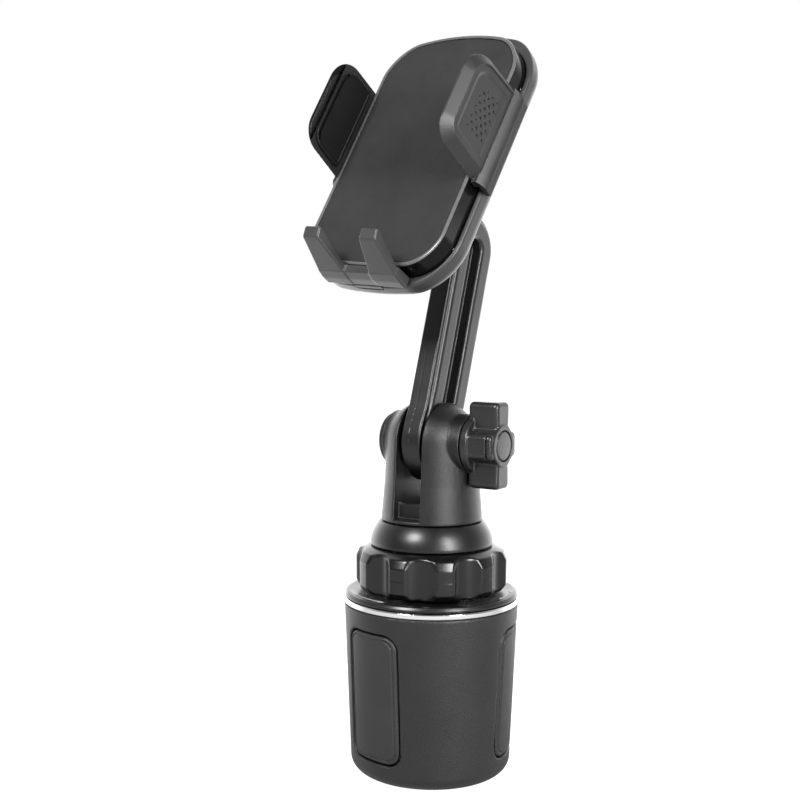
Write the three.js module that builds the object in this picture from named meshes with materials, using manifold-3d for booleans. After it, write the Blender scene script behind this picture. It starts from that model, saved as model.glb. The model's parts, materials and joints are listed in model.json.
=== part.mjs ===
// Cup-holder phone mount: an expanding cup base, a dial that drives three wedge-operated wings, a swivelling
// neck with a slotted yoke, a tilting arm, a ball joint and a spring-latched cradle with two geared jaws.
// Millimetres, +Z up. The base stands on Z = 0, +X points along the arm's pivot towards the clamp knob,
// and the cradle faces -Y.
import * as THREE from "three";
import { mergeVertices } from "three/addons/utils/BufferGeometryUtils.js";
import Module from "manifold-3d";

const wasm = await Module();
wasm.setup();

// ---------------------------------------------------------------- driving dimensions (mm, degrees)
const GAP = 0.3;                 // clearance between pieces that touch
const RADIAN = Math.PI / 180;

const CUP_HEIGHT = 69;
const CUP_BOTTOM_RADIUS = 32.4;
const CUP_TOP_RADIUS = 35.4;
const CUP_WALL = 2.5;
const CUP_EDGE = 5;              // rounding of the cup's lower edge
const CUP_RIM_INNER = 32.5;      // inner radius of the cup's mouth, the ring and the lid's skirt
const FOOT_PAD_RADIUS = 25.2;
const FLOOR_LOW = 1.5;
const FLOOR_HIGH = 3.9;

const WINGS = 3;
const WING_FIRST_ANGLE = -102.5;
const WINDOW_WIDTH = 26.8;
const WINDOW_LOW = 9;
const WINDOW_HIGH = 61.5;
const WINDOW_CORNER = 6;
const WINDOW_GAP = 0.45;

const RING_LOW = 69.25;
const RING_HIGH = 71.4;
const LID_TOP = 74;
const DIAL_LOW = 74.6;
const DIAL_HIGH = 92.3;
const DIAL_RADIUS = 31;
const SCALLOPS = 10;
const SCALLOP_FIRST_ANGLE = 6.4;
const SLEEVE_RADIUS = 11;
const POST_RADIUS = 7.5;
const POST_TOP = 96.3;
const GUIDE_TAB_HALF = 4;        // half the width of the tabs that guide the wings
const SCREW_SHANK = 1.4;
const SCREW_HEAD = 2.8;
const SCREW_HOLE = 1.7;
const SWIVEL_BORE = 2.4;

const SEAM_Z = 102.5;            // seam between the neck skirt and the yoke
const PIVOT_Z = 134.6;
const SLOT_HALF = 6;             // half the yoke's slot
const RIGHT_BOSS_END = 19.2;
const LEFT_BOSS_END = -16.6;
const KNOB_END = 33.5;
const BOLT_RADIUS = 2.9;
const BOLT_BORE = 3.2;

const ARM_LEAN = 18.3;           // the arm leans back from upright
const ARM_HALF = 5.3;            // half the arm's thickness over its rails
const ARM_CORE_HALF = 4;
const ARM_WEB_HALF = 1;          // half the web left between the two side grooves
const ARM_FRONT = -15;
const ARM_BACK = 12.8;
const ARM_LENGTH = 82;           // pivot to the centre of the round top end
const ARM_FOOT_RADIUS = 16;
const BALL_FORWARD = 27.5;       // ball centre ahead of the arm's centre plane
const BALL_UP = 83.7;            // ball centre along the arm
const BALL_RADIUS = 8.5;

const CRADLE_PAN = -3.7;
const CRADLE_LEAN = 30;
const CRADLE_ROLL = -4.2;
const CRADLE_RISE = 14.95;       // cradle centre above the ball, along the cradle
const CRADLE_DEPTH = 27.95;      // ball centre behind the cradle's front face
const FRAME_HALF = 33;
const FRAME_DEPTH = 7;
const SHELL_HALF = 35.2;
const SHELL_DEPTH = 17;
const SOCKET_RADIUS = 10.8;
const NECK_RADIUS = 12.9;

const JAW_INNER = 33.4;
const JAW_OUTER = 36.9;
const JAW_LOW = -13.6;
const JAW_HIGH = 29.4;
const JAW_FRONT = 25.4;
const JAW_TAPER = 2;             // the blade's ends draw in by this much towards the tip
const JAW_BEVEL = 2;
const JAW_INWARD = 0.045;        // inward lean of a blade, sideways per millimetre of height
const FLANGE_TOP = -1.5;
const FLANGE_LOW = -10;
const RACK_LOW = -6.9;
const RACK_HIGH = -4.4;
const RACK_REACH = 24;           // how far a rack runs past the cradle's centre line
const PINION_Y = 7.75;
const PINION_TEETH = 12;
const GEAR_MODULE = 1;

// ---------------------------------------------------------------- colours and finishes
const plastic = (hex, roughness) => new THREE.MeshStandardMaterial({ color: hex, roughness, metalness: 0 });
const metal = (hex, roughness) => new THREE.MeshStandardMaterial({ color: hex, roughness, metalness: 1 });
const GRAINED = plastic(0x3a3a3b, 0.6);
const SATIN = plastic(0x303031, 0.45);
const GLOSS = plastic(0x1d1d1e, 0.25);
const RUBBER = plastic(0x28282a, 0.85);
const MATTE = plastic(0x3c3c3d, 0.75);
const INNER = plastic(0x55575a, 0.6);
const CHROME = metal(0xe6e7ea, 0.12);
const STEEL = metal(0x8d9095, 0.35);
const BRASS = metal(0xb08d3f, 0.3);

// ---------------------------------------------------------------- solids: making, joining and cutting
function toManifold(geometry) {
  const bare = new THREE.BufferGeometry();
  bare.setAttribute("position", geometry.getAttribute("position").clone());
  if (geometry.index) {
    bare.setIndex(geometry.index.clone());
  }
  const merged = mergeVertices(bare, 1e-4);
  const points = merged.getAttribute("position");
  const index = merged.index.array;
  const corners = [];
  let volume = 0;
  const [a, b, c] = [new THREE.Vector3(), new THREE.Vector3(), new THREE.Vector3()];
  for (let i = 0; i < index.length; i += 3) {
    const [p, q, r] = [index[i], index[i + 1], index[i + 2]];
    if (p !== q && q !== r && r !== p) {
      corners.push(p, q, r);
      a.fromBufferAttribute(points, p);
      b.fromBufferAttribute(points, q);
      c.fromBufferAttribute(points, r);
      volume += a.dot(b.cross(c));
    }
  }
  if (volume < 0) {
    corners.reverse();
  }
  const vertProperties = new Float32Array(points.array);
  return new wasm.Manifold(new wasm.Mesh({ numProp: 3, vertProperties, triVerts: new Uint32Array(corners) }));
}

function toGeometry(manifold) {
  const mesh = manifold.getMesh();
  const geometry = new THREE.BufferGeometry();
  geometry.setAttribute("position", new THREE.BufferAttribute(new Float32Array(mesh.vertProperties), 3));
  geometry.setIndex(new THREE.BufferAttribute(new Uint32Array(mesh.triVerts), 1));
  geometry.computeVertexNormals();
  return geometry;
}

const combine = (method, first, others) =>
  toGeometry(others.reduce((sum, other) => sum[method](toManifold(other)), toManifold(first)));
const join = (first, ...others) => combine("add", first, others);
const cut = (first, ...others) => combine("subtract", first, others);
const overlap = (first, ...others) => combine("intersect", first, others);

const box = (x0, x1, y0, y1, z0, z1) =>
  new THREE.BoxGeometry(x1 - x0, y1 - y0, z1 - z0).translate((x0 + x1) / 2, (y0 + y1) / 2, (z0 + z1) / 2);
const rod = (radius, z0, z1, sides = 20) =>
  new THREE.CylinderGeometry(radius, radius, z1 - z0, sides).rotateX(Math.PI / 2).translate(0, 0, (z0 + z1) / 2);
const crossRod = (radius, x0, x1, sides = 20) =>
  new THREE.CylinderGeometry(radius, radius, x1 - x0, sides).rotateZ(Math.PI / 2).translate((x0 + x1) / 2, 0, 0);
const slab = (shape, z0, z1) =>
  new THREE.ExtrudeGeometry(shape, { depth: z1 - z0, bevelEnabled: false, curveSegments: 6 }).translate(0, 0, z0);
// turned: [radius, height] pairs spun about Z; a ring's profile ends where it starts
const turned = (profile, segments = 36) =>
  new THREE.LatheGeometry(profile.map(([r, z]) => new THREE.Vector2(r, z)), segments).rotateX(Math.PI / 2);
const ringProfile = (profile) => turned([...profile, profile[0]]);
// sideSlab: a shape drawn in (y, z), thickened along X
const AXES_TO_SIDE = new THREE.Matrix4().makeBasis(
  new THREE.Vector3(0, 1, 0), new THREE.Vector3(0, 0, 1), new THREE.Vector3(1, 0, 0));
const sideSlab = (shape, x0, x1) => slab(shape, x0, x1).applyMatrix4(AXES_TO_SIDE);
const turnedTo = (geometry, degrees) => geometry.rotateZ(degrees * RADIAN);
const repeated = (count, first, make) =>
  Array.from({ length: count }, (_, i) => turnedTo(make(), first + (i * 360) / count));
const arc = (cx, cy, radius, from, to, steps) =>
  Array.from({ length: steps + 1 }, (_, i) => {
    const angle = (from + ((to - from) * i) / steps) * RADIAN;
    return [cx + radius * Math.cos(angle), cy + radius * Math.sin(angle)];
  });
const polygon = (points) => new THREE.Shape(points.map(([x, y]) => new THREE.Vector2(x, y)));

function roundedBox(x0, x1, y0, y1, radius) {
  return polygon([
    ...arc(x1 - radius, y0 + radius, radius, -90, 0, 4),
    ...arc(x1 - radius, y1 - radius, radius, 0, 90, 4),
    ...arc(x0 + radius, y1 - radius, radius, 90, 180, 4),
    ...arc(x0 + radius, y0 + radius, radius, 180, 270, 4),
  ]);
}

const mount = new THREE.Group();
function piece(name, geometry, material, parent = mount) {
  const mesh = new THREE.Mesh(toGeometry(toManifold(geometry)), material);
  mesh.name = name;
  parent.add(mesh);
}

// ---------------------------------------------------------------- cup base
const cupRadius = (z) => CUP_BOTTOM_RADIUS + ((CUP_TOP_RADIUS - CUP_BOTTOM_RADIUS) * z) / CUP_HEIGHT;
const windowShape = (inset) => roundedBox(
  -WINDOW_WIDTH / 2 + inset, WINDOW_WIDTH / 2 - inset, WINDOW_LOW + inset, WINDOW_HIGH - inset, WINDOW_CORNER - inset);
const windowPrism = (inset, r0, r1) => sideSlab(windowShape(inset), r0, r1);
const SCREW_CIRCLE = 18;
const screwSpots = (make) => repeated(WINGS, WING_FIRST_ANGLE + 60, () => make().translate(SCREW_CIRCLE, 0, 0));

function baseCup() {
  const edge = cupRadius(CUP_EDGE) - CUP_EDGE;
  const body = turned([
    [0, FLOOR_LOW], [FOOT_PAD_RADIUS + GAP, FLOOR_LOW], [FOOT_PAD_RADIUS + GAP, 0],
    ...arc(edge, CUP_EDGE, CUP_EDGE, -90, 0, 3),
    [CUP_TOP_RADIUS, CUP_HEIGHT], [CUP_TOP_RADIUS - CUP_WALL, CUP_HEIGHT],
    [cupRadius(8) - CUP_WALL, 8], [edge - 1.5, FLOOR_HIGH], [0, FLOOR_HIGH],
  ], 54);
  return cut(body,
    ...repeated(WINGS, WING_FIRST_ANGLE, () => windowPrism(0, 24, 40)),
    ...screwSpots(() => rod(3.1, FLOOR_LOW - 1, FLOOR_LOW + 1.6, 12)),
    ...screwSpots(() => rod(SCREW_HOLE, FLOOR_LOW, FLOOR_HIGH + 1, 12)));
}

// slots for the wings' guide tabs
const tabSlot = (r0, r1, z0, z1) => box(r0, r1, -GUIDE_TAB_HALF - GAP, GUIDE_TAB_HALF + GAP, z0, z1);

function corePost() {
  const body = join(
    turned([[0, 4.2], [23.5, 4.2], [23.5, 6.7], [10, 6.7], [POST_RADIUS, 9.5], [POST_RADIUS, POST_TOP], [0, POST_TOP]]),
    ...screwSpots(() => rod(3.4, 6, 11.5, 12)));
  return cut(body,
    ...repeated(WINGS, WING_FIRST_ANGLE, () => tabSlot(15, 30, 3, 8)),
    ...screwSpots(() => rod(SCREW_HOLE, 3, 12, 12)),
    rod(SWIVEL_BORE - 0.1, 72, POST_TOP + 1, 16));
}

const screw = (headRadius, headLow, headHigh, shankRadius, tip) =>
  turned(tip > headHigh
    ? [[0, headLow], [headRadius, headLow], [headRadius, headHigh], [shankRadius, headHigh], [shankRadius, tip], [0, tip]]
    : [[0, tip], [shankRadius, tip], [shankRadius, headLow], [headRadius, headLow], [headRadius, headHigh], [0, headHigh]],
  16);

const wingGuide = () => cut(
  ringProfile([[12, 63.4], [31.5, 63.4], [31.5, 64.9], [12, 64.9]]),
  ...repeated(WINGS, WING_FIRST_ANGLE, () => tabSlot(16, 28.5, 62, 65)));

const chromeRing = () => ringProfile([
  [CUP_RIM_INNER, RING_LOW], [CUP_TOP_RADIUS, RING_LOW], [CUP_TOP_RADIUS + 0.15, (RING_LOW + RING_HIGH) / 2],
  [CUP_TOP_RADIUS, RING_HIGH], [CUP_RIM_INNER, RING_HIGH]]);

function baseLid() {
  const bore = SLEEVE_RADIUS + 0.5;
  const skirt = CUP_RIM_INNER - GAP;
  const rim = CUP_TOP_RADIUS - 0.1;
  const under = RING_HIGH + GAP;
  return ringProfile([
    [bore, 67.6], [15, 67.6], [15, 71], [29.2, 71], [29.2, 65], [skirt, 65], [skirt, under],
    [rim, under], [rim, LID_TOP - 1], [rim - 0.4, LID_TOP - 0.3], [rim - 1.3, LID_TOP], [bore, LID_TOP]]);
}

piece("base_cup", baseCup(), GRAINED);
piece("foot_pad", turned([[0, 0], [FOOT_PAD_RADIUS, 0], [FOOT_PAD_RADIUS, 1.2], [0, 1.2]]), RUBBER);
piece("core_post", corePost(), INNER);
for (let i = 0; i < WINGS; i += 1) {
  const angle = WING_FIRST_ANGLE + 60 + (i * 360) / WINGS;
  const geometry = screw(SCREW_HEAD, FLOOR_LOW + 0.1, FLOOR_LOW + 1.3, SCREW_SHANK, 11).translate(SCREW_CIRCLE, 0, 0);
  piece(`post_screw_${i + 1}`, turnedTo(geometry, angle), STEEL);
}
piece("wing_guide", wingGuide(), INNER);
piece("chrome_ring", chromeRing(), CHROME);
piece("base_lid", baseLid(), GLOSS);

// ---------------------------------------------------------------- dial, drive screw, wedge nut and wings
const WEDGE_TRAVEL = 6;
const WING_TRAVEL = 4;
const RAMP_SLOPE = WING_TRAVEL / WEDGE_TRAVEL;
const RAMP_LOW = 14;             // height where the wedge's ramps start
const RAMP_RADIUS = 20;          // their radius there
const rampRadius = (z) => RAMP_RADIUS - RAMP_SLOPE * (z - RAMP_LOW);

function dialRing() {
  const body = ringProfile([
    [SLEEVE_RADIUS + GAP, 75.5], [14, 75.5], [14, 89.3], [26, 89.3], [26, DIAL_LOW], [28.6, DIAL_LOW],
    [DIAL_RADIUS, 77], [DIAL_RADIUS, 86.5], [30.3, 89.4], [28.2, 91.5], [25.2, DIAL_HIGH],
    [SLEEVE_RADIUS + GAP, DIAL_HIGH]]);
  return cut(body, ...repeated(SCALLOPS, SCALLOP_FIRST_ANGLE, () => rod(12, 70, 89, 36).translate(40.2, 0, 0)));
}

const driveScrew = () => ringProfile([
  [POST_RADIUS + 0.4, 12], [SLEEVE_RADIUS, 12], [SLEEVE_RADIUS, 65.2], [14.5, 65.2], [14.5, 67.2],
  [SLEEVE_RADIUS, 67.2], [SLEEVE_RADIUS, 90], [POST_RADIUS + 0.4, 90]]);

function wedgeNut() {
  const high = 25;
  const fin = polygon([[12, 10], [RAMP_RADIUS, 10], [RAMP_RADIUS, RAMP_LOW], [rampRadius(high), high], [12, high]]);
  const finSolid = () => sideSlab(fin, -5, 5).rotateZ(-Math.PI / 2);
  return join(
    ringProfile([[SLEEVE_RADIUS + GAP, 10], [13.2, 10], [13.2, high], [SLEEVE_RADIUS + GAP, high]]),
    ...repeated(WINGS, WING_FIRST_ANGLE, finSolid));
}

function wingCarrier() {
  const follower = polygon([
    [rampRadius(16) + 0.4, 16], [22, 16], [22, 46], [17.5, 46], [15.5, 34], [rampRadius(25) + 0.9, 34],
    [rampRadius(25) + 0.9, 25]]);
  const body = join(
    windowPrism(WINDOW_GAP, 22.5, 29.2),
    overlap(windowPrism(-2, 20.8, 23), turned([[0, 4.4], [24.5, 4.4], [25.5, 9], [25.5, 63.1], [0, 63.1]])),
    sideSlab(follower, -GUIDE_TAB_HALF, GUIDE_TAB_HALF).rotateZ(-Math.PI / 2),
    box(17.5, 21.4, -GUIDE_TAB_HALF, GUIDE_TAB_HALF, 4.6, 10),
    box(17.5, 21.4, -GUIDE_TAB_HALF, GUIDE_TAB_HALF, 55, 64.4));
  return cut(body, box(20, 27, -9, 9, 14, 44).translate(3.2, 0, 0));
}

function wingPad() {
  const skin = turned([
    [0, WINDOW_LOW - 2], [cupRadius(WINDOW_LOW - 2), WINDOW_LOW - 2],
    [cupRadius(WINDOW_HIGH + 2), WINDOW_HIGH + 2], [0, WINDOW_HIGH + 2]], 54);
  return overlap(skin, windowPrism(WINDOW_GAP, 29.5, 37));
}

piece("dial_ring", dialRing(), GLOSS);
piece("drive_screw", driveScrew(), INNER);
piece("wedge_nut", wedgeNut(), INNER);
for (let i = 0; i < WINGS; i += 1) {
  const angle = WING_FIRST_ANGLE + (i * 360) / WINGS;
  piece(`wing_carrier_${i + 1}`, turnedTo(wingCarrier(), angle), INNER);
  piece(`wing_pad_${i + 1}`, turnedTo(wingPad(), angle), RUBBER);
}

// ---------------------------------------------------------------- neck: skirt, yoke, swivel and pivot bolt
const YOKE_SCREW_X = 13.5;
const atPivotHeight = (geometry) => geometry.translate(0, 0, PIVOT_Z);
const atYokeScrews = (make) => [-1, 1].map((side) => make().translate(side * YOKE_SCREW_X, 0, 0));

function neckSkirt() {
  const top = SEAM_Z - 0.1;
  const body = ringProfile([
    [SWIVEL_BORE, 98], [9, 98], [9, 100.2], [19.6, 100.2], [21.4, 97.5], [22.6, 94.5], [22.9, 92.7],
    [25, 92.7], [24.6, 95.3], [23.7, 98], [22.4, 100.6], [21, top], [SWIVEL_BORE, top]]);
  return cut(body, ...atYokeScrews(() => rod(SCREW_HOLE + 0.1, 99, 104, 12)));
}

function yoke() {
  const low = SEAM_Z + 0.2;
  const ear = 18.8;
  const dome = arc(0, 0, 1, 0, 90, 7).map(([x, y]) => [ear * x, PIVOT_Z + 17.2 * y]);
  dome[dome.length - 1][0] = 0;
  const body = join(
    turned([[0, low], [20.7, low], [19.3, 118], ...dome]),
    atPivotHeight(crossRod(11.8, 8, RIGHT_BOSS_END, 32)),
    atPivotHeight(crossRod(11, LEFT_BOSS_END, -8, 32)));
  return cut(body,
    box(-SLOT_HALF, SLOT_HALF, -15, 15, 107.5, 160),
    box(-SLOT_HALF, SLOT_HALF, -30, -14, 104.3, 160),
    box(-SLOT_HALF, SLOT_HALF, 14, 30, 104.3, 160),
    rod(4.6, 104.7, 109, 20),
    rod(SWIVEL_BORE - 0.1, 100, 106, 16),
    ...atYokeScrews(() => rod(SCREW_HOLE, 100, 113, 12)),
    atPivotHeight(crossRod(BOLT_BORE, -25, 25)),
    atPivotHeight(crossRod(9.6, -7, 7)),
    atPivotHeight(crossRod(6.2, -25, -12.7)),
    atPivotHeight(crossRod(11.2, -25, LEFT_BOSS_END, 32)));
}

const friction = (side) => cut(crossRod(9.2, side * 6.2 - 0.5, side * 6.2 + 0.5), crossRod(BOLT_BORE, -9, 9));
const pivotBolt = () => join(crossRod(5.7, -15.9, -12.9, 6), crossRod(BOLT_RADIUS, -14, 31.4, 16));
const boltCap = () => {
  const face = LEFT_BOSS_END - GAP;
  return turned([[0, 0], [10.8, 0], [10.8, 1.5], [10.2, 2.2], [9.2, 2.5], [0, 2.5]], 36)
    .rotateY(-Math.PI / 2).translate(face, 0, 0);
};

piece("neck_skirt", neckSkirt(), SATIN);
piece("yoke", yoke(), SATIN);
piece("swivel_washer", ringProfile([[SWIVEL_BORE, 96.6], [7, 96.6], [7, 97.7], [SWIVEL_BORE, 97.7]]), STEEL);
piece("swivel_screw", screw(4.2, 105, 107, 2, 74), STEEL);
[-1, 1].forEach((side, i) => {
  piece(`yoke_screw_${i + 1}`, screw(SCREW_HEAD, 98.5, 99.9, SCREW_SHANK, 112.5).translate(side * YOKE_SCREW_X, 0, 0), STEEL);
  piece(`friction_washer_${i + 1}`, atPivotHeight(friction(side)), STEEL);
});
piece("pivot_bolt", atPivotHeight(pivotBolt()), STEEL);
piece("bolt_cap", atPivotHeight(boltCap()), GLOSS);

// ---------------------------------------------------------------- clamp knob on the pivot bolt
const KNOB_START = RIGHT_BOSS_END + 0.5;
function clampKnob() {
  const wings = sideSlab(roundedBox(-4.4, 4.4, -17.2, 17.2, 2.5), KNOB_START, KNOB_END);
  const lobes = sideSlab(roundedBox(-10.2, 10.2, -4.6, 4.6, 2.5), KNOB_START, KNOB_END);
  const body = join(wings, lobes, crossRod(8, KNOB_START, KNOB_END, 32), crossRod(11.5, KNOB_START, 22.4, 32));
  return cut(body, crossRod(BOLT_BORE, 10, 40), crossRod(6.2, 24, 40));
}

piece("clamp_knob", atPivotHeight(clampKnob()), GLOSS);
piece("knob_nut", atPivotHeight(cut(crossRod(5.8, 24.3, 28.3, 6), crossRod(3.1, 20, 30, 16))), BRASS);
piece("knob_cap", atPivotHeight(crossRod(5.9, 31.8, KNOB_END, 32)), SATIN);

// ---------------------------------------------------------------- arm, in its own frame: Z along the arm
const armFrame = new THREE.Group();
armFrame.position.set(0, 0, PIVOT_Z);
armFrame.rotation.x = -ARM_LEAN * RADIAN;
mount.add(armFrame);

function armShape(inset) {
  const foot = ARM_FOOT_RADIUS - inset;
  const front = ARM_FRONT + inset;
  const back = ARM_BACK - inset;
  const middle = (front + back) / 2;
  const backAngle = Math.acos(back / foot) / RADIAN;
  const frontAngle = -180 - (180 - Math.acos(front / foot) / RADIAN);
  return polygon([
    ...arc(0, 0, foot, backAngle, frontAngle, 14),
    ...arc(middle, ARM_LENGTH, (back - front) / 2, 180, 0, 12)]);
}

function arm() {
  const groove = (x0, x1) => sideSlab(roundedBox(-5.3, 2.7, 12, 86, 3.9), x0, x1);
  const body = join(
    sideSlab(armShape(0), -ARM_CORE_HALF, ARM_CORE_HALF),
    sideSlab(armShape(1.5), -ARM_HALF, ARM_HALF));
  return cut(body,
    groove(ARM_WEB_HALF, 8), groove(-8, -ARM_WEB_HALF),
    crossRod(BOLT_BORE, -9, 9),
    new THREE.CylinderGeometry(2.7, 2.7, 12, 16).translate(0, -12.2, BALL_UP));
}

function ballStud() {
  const flange = BALL_FORWARD + ARM_FRONT - GAP;     // from the ball's centre to the flange's back face
  const ball = arc(0, 0, BALL_RADIUS, -90, 60, 10);
  ball[0][0] = 0;
  const profile = [
    ...ball, [4, flange - 2], [5, flange - 1.2], [5, flange], [2.4, flange], [2.4, flange + 9], [0, flange + 9]];
  return turned(profile, 24).rotateX(-Math.PI / 2).translate(0, -BALL_FORWARD, BALL_UP);
}

piece("arm", arm(), SATIN, armFrame);
piece("ball_stud", ballStud(), STEEL, armFrame);

// ---------------------------------------------------------------- ball frame: Z out of the cradle's face
const lean = -ARM_LEAN * RADIAN;
const ballY = -BALL_FORWARD * Math.cos(lean) - BALL_UP * Math.sin(lean);
const ballZ = PIVOT_Z - BALL_FORWARD * Math.sin(lean) + BALL_UP * Math.cos(lean);
const about = (x, y, z, degrees) =>
  new THREE.Quaternion().setFromAxisAngle(new THREE.Vector3(x, y, z), degrees * RADIAN);
const ballFrame = new THREE.Group();
ballFrame.position.set(0, ballY, ballZ);
ballFrame.quaternion.copy(
  about(0, 0, 1, CRADLE_PAN).multiply(about(1, 0, 0, 90 - CRADLE_LEAN)).multiply(about(0, 0, 1, CRADLE_ROLL)));
mount.add(ballFrame);

// polar angles are measured from the cradle's forward axis
const shellArc = (radius, from, to, steps) => arc(0, 0, radius, 90 - from, 90 - to, steps);
function ballLiner() {
  const outer = shellArc(9.5, 0, 70, 6);
  const inner = shellArc(8.9, 70, 0, 6);
  outer[0][0] = 0;
  inner[inner.length - 1][0] = 0;
  return turned([...outer, ...inner], 24);
}
const seatRing = () => turned(
  [...shellArc(9.9, 62, 121, 5), ...shellArc(10.5, 121, 62, 5), shellArc(9.9, 62, 121, 5)[0]], 24);

function collarNut() {
  const body = ringProfile([
    [13.2, 7.5], [15.8, 7.5], [15.8, -2.5], [14.4, -5], [12.6, -7.2], [10.3, -7.2], [10.3, -6.1], [13.2, -6.1]]);
  return cut(body, ...repeated(12, 0, () => rod(1.6, -3, 9, 10).translate(16.6, 0, 0)));
}

piece("ball_liner", ballLiner(), INNER, ballFrame);
piece("seat_ring", seatRing(), INNER, ballFrame);
piece("collar_nut", collarNut(), SATIN, ballFrame);

// ---------------------------------------------------------------- cradle: front face at Z = 0, Y up the cradle
const cradle = new THREE.Group();
cradle.position.set(0, CRADLE_RISE, CRADLE_DEPTH);
ballFrame.add(cradle);

// a rectangle with round corners whose upper and lower edges bow outwards
function bowedShape(half, high, low, topCorner, lowCorner, topBow, lowBow) {
  const bow = ([x, y]) => {
    const crown = 1 - (x / half) ** 2;
    return [x, y + (y > 0 ? (topBow * crown * y) / high : (-lowBow * crown * y) / low)];
  };
  const across = (from, to, y) => [1, 2, 3, 4, 5].map((i) => [from + ((to - from) * i) / 6, y]);
  return polygon([
    ...arc(half - topCorner, high - topCorner, topCorner, 0, 90, 6),
    ...across(half - topCorner, topCorner - half, high),
    ...arc(topCorner - half, high - topCorner, topCorner, 90, 180, 6),
    ...arc(lowCorner - half, low + lowCorner, lowCorner, 180, 270, 6),
    ...across(lowCorner - half, half - lowCorner, low),
    ...arc(half - lowCorner, low + lowCorner, lowCorner, 270, 360, 6),
  ].map(bow));
}
const frameShape = (inset) => bowedShape(
  FRAME_HALF - inset, 49.9 - inset, -49.9 + inset, 13.6 - inset, 13.6 - inset, 5.6, 2.4);
const shellShape = (inset) => bowedShape(
  SHELL_HALF - inset, 53.4 - inset, -53 + inset, 15.6 - inset, 18.5 - inset, 8.2, 4);

const POST_SPOTS = [[24, 38], [-24, 38], [24, -36], [-24, -36]];
const atPosts = (make) => POST_SPOTS.map(([x, y]) => make().translate(x, y, 0));
const RACK_INNER = (PINION_TEETH * GEAR_MODULE) / 2 + 1.2;   // rack body's edge from the pinion's centre
const RACK_OUTER = 15.2;
const BUTTON_Y = 33;

function frontFrame() {
  const body = join(
    cut(slab(frameShape(0), -FRAME_DEPTH, 0), slab(frameShape(2), -FRAME_DEPTH - 1, -2.2)),
    ...atPosts(() => rod(3.2, -FRAME_DEPTH, -2, 12)));
  const notch = (side) => {
    const edges = [PINION_Y - side * (RACK_INNER - 2), PINION_Y - side * (RACK_OUTER + 0.5)].sort((a, b) => a - b);
    return box(side > 0 ? 29 : -40, side > 0 ? 40 : -29, ...edges, -FRAME_DEPTH - 1, RACK_HIGH + GAP);
  };
  return cut(body,
    slab(frameShape(1.6), -1.2, 1),
    notch(1), notch(-1),
    ...atPosts(() => rod(1.5, -FRAME_DEPTH - 1, -2.8, 12)));
}

function backShell() {
  const roundOver = 5;
  const outer = new THREE.ExtrudeGeometry(shellShape(roundOver), {
    depth: 8, bevelEnabled: true, bevelThickness: 4.2, bevelSize: roundOver, bevelSegments: 3 })
    .translate(0, 0, 4.2 - SHELL_DEPTH);
  const front = -FRAME_DEPTH - 0.2;
  const neckEnd = -CRADLE_DEPTH - 5.8;
  const shell = join(
    cut(outer, box(-60, 60, -80, 80, front, 20),
      slab(frameShape(0.3), -12.8, 0), slab(frameShape(6), 2 - SHELL_DEPTH, 0)),
    rod(NECK_RADIUS, neckEnd, 2 - SHELL_DEPTH - 0.5, 36).translate(0, -CRADLE_RISE, 0),
    rod(3.2, 1 - SHELL_DEPTH, RACK_LOW - GAP, 16).translate(0, PINION_Y, 0),
    rod(1.4, -8, RACK_HIGH + GAP, 12).translate(0, PINION_Y, 0),
    box(7.4, 9.2, -50, -18, 1 - SHELL_DEPTH, front - GAP),
    box(-9.2, -7.4, -50, -18, 1 - SHELL_DEPTH, front - GAP),
    ...atPosts(() => rod(3.4, 1 - SHELL_DEPTH, front, 12)));
  return cut(shell,
    new THREE.SphereGeometry(SOCKET_RADIUS, 24, 14).rotateX(Math.PI / 2).translate(0, -CRADLE_RISE, -CRADLE_DEPTH),
    box(-7.4, 7.4, -70, -50, -10.1, 0),
    slab(roundedBox(-6, 6, BUTTON_Y - 8, BUTTON_Y + 8, 2), -20, -10),
    ...atPosts(() => rod(2.9, -20, 2.8 - SHELL_DEPTH, 12)),
    ...atPosts(() => rod(1.7, -20, 0, 12)));
}

piece("front_frame", frontFrame(), GLOSS, cradle);
piece("front_pad", slab(frameShape(1.9), -1, -0.1), MATTE, cradle);
piece("back_shell", backShell(), SATIN, cradle);
POST_SPOTS.forEach(([x, y], i) => {
  piece(`shell_screw_${i + 1}`, screw(2.6, 0.1 - SHELL_DEPTH, 2.5 - SHELL_DEPTH, 1.2, -3.2).translate(x, y, 0), STEEL, cradle);
});

// ---------------------------------------------------------------- jaws with racks, pinion and latch
const TOOTH_PITCH = Math.PI * GEAR_MODULE;
const RATCHET_PITCH = 2.5;
// rack: gear teeth face the pinion, which lies at y = 0 above the rack, and ratchet teeth line the other edge
function rackShape() {
  const points = [];
  for (let i = 0; i < 12; i += 1) {
    const x = 1.5 - RACK_REACH + i * RATCHET_PITCH;
    points.push([x, -RACK_OUTER], [x + RATCHET_PITCH - 0.2, 1 - RACK_OUTER]);
  }
  points.push([34, -RACK_OUTER], [34, -RACK_INNER]);
  const lastTooth = Math.floor((RACK_REACH - 1.5) / TOOTH_PITCH - 0.5);
  for (let i = 3; i >= -lastTooth; i -= 1) {
    const x = (i - 0.5) * TOOTH_PITCH;
    const tip = 1.9 - RACK_INNER;
    points.push([x + 1, -RACK_INNER], [x + 0.35, tip], [x - 0.35, tip], [x - 1, -RACK_INNER]);
  }
  points.push([-RACK_REACH, -RACK_INNER], [-RACK_REACH, -RACK_OUTER]);
  return polygon(points);
}

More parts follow.
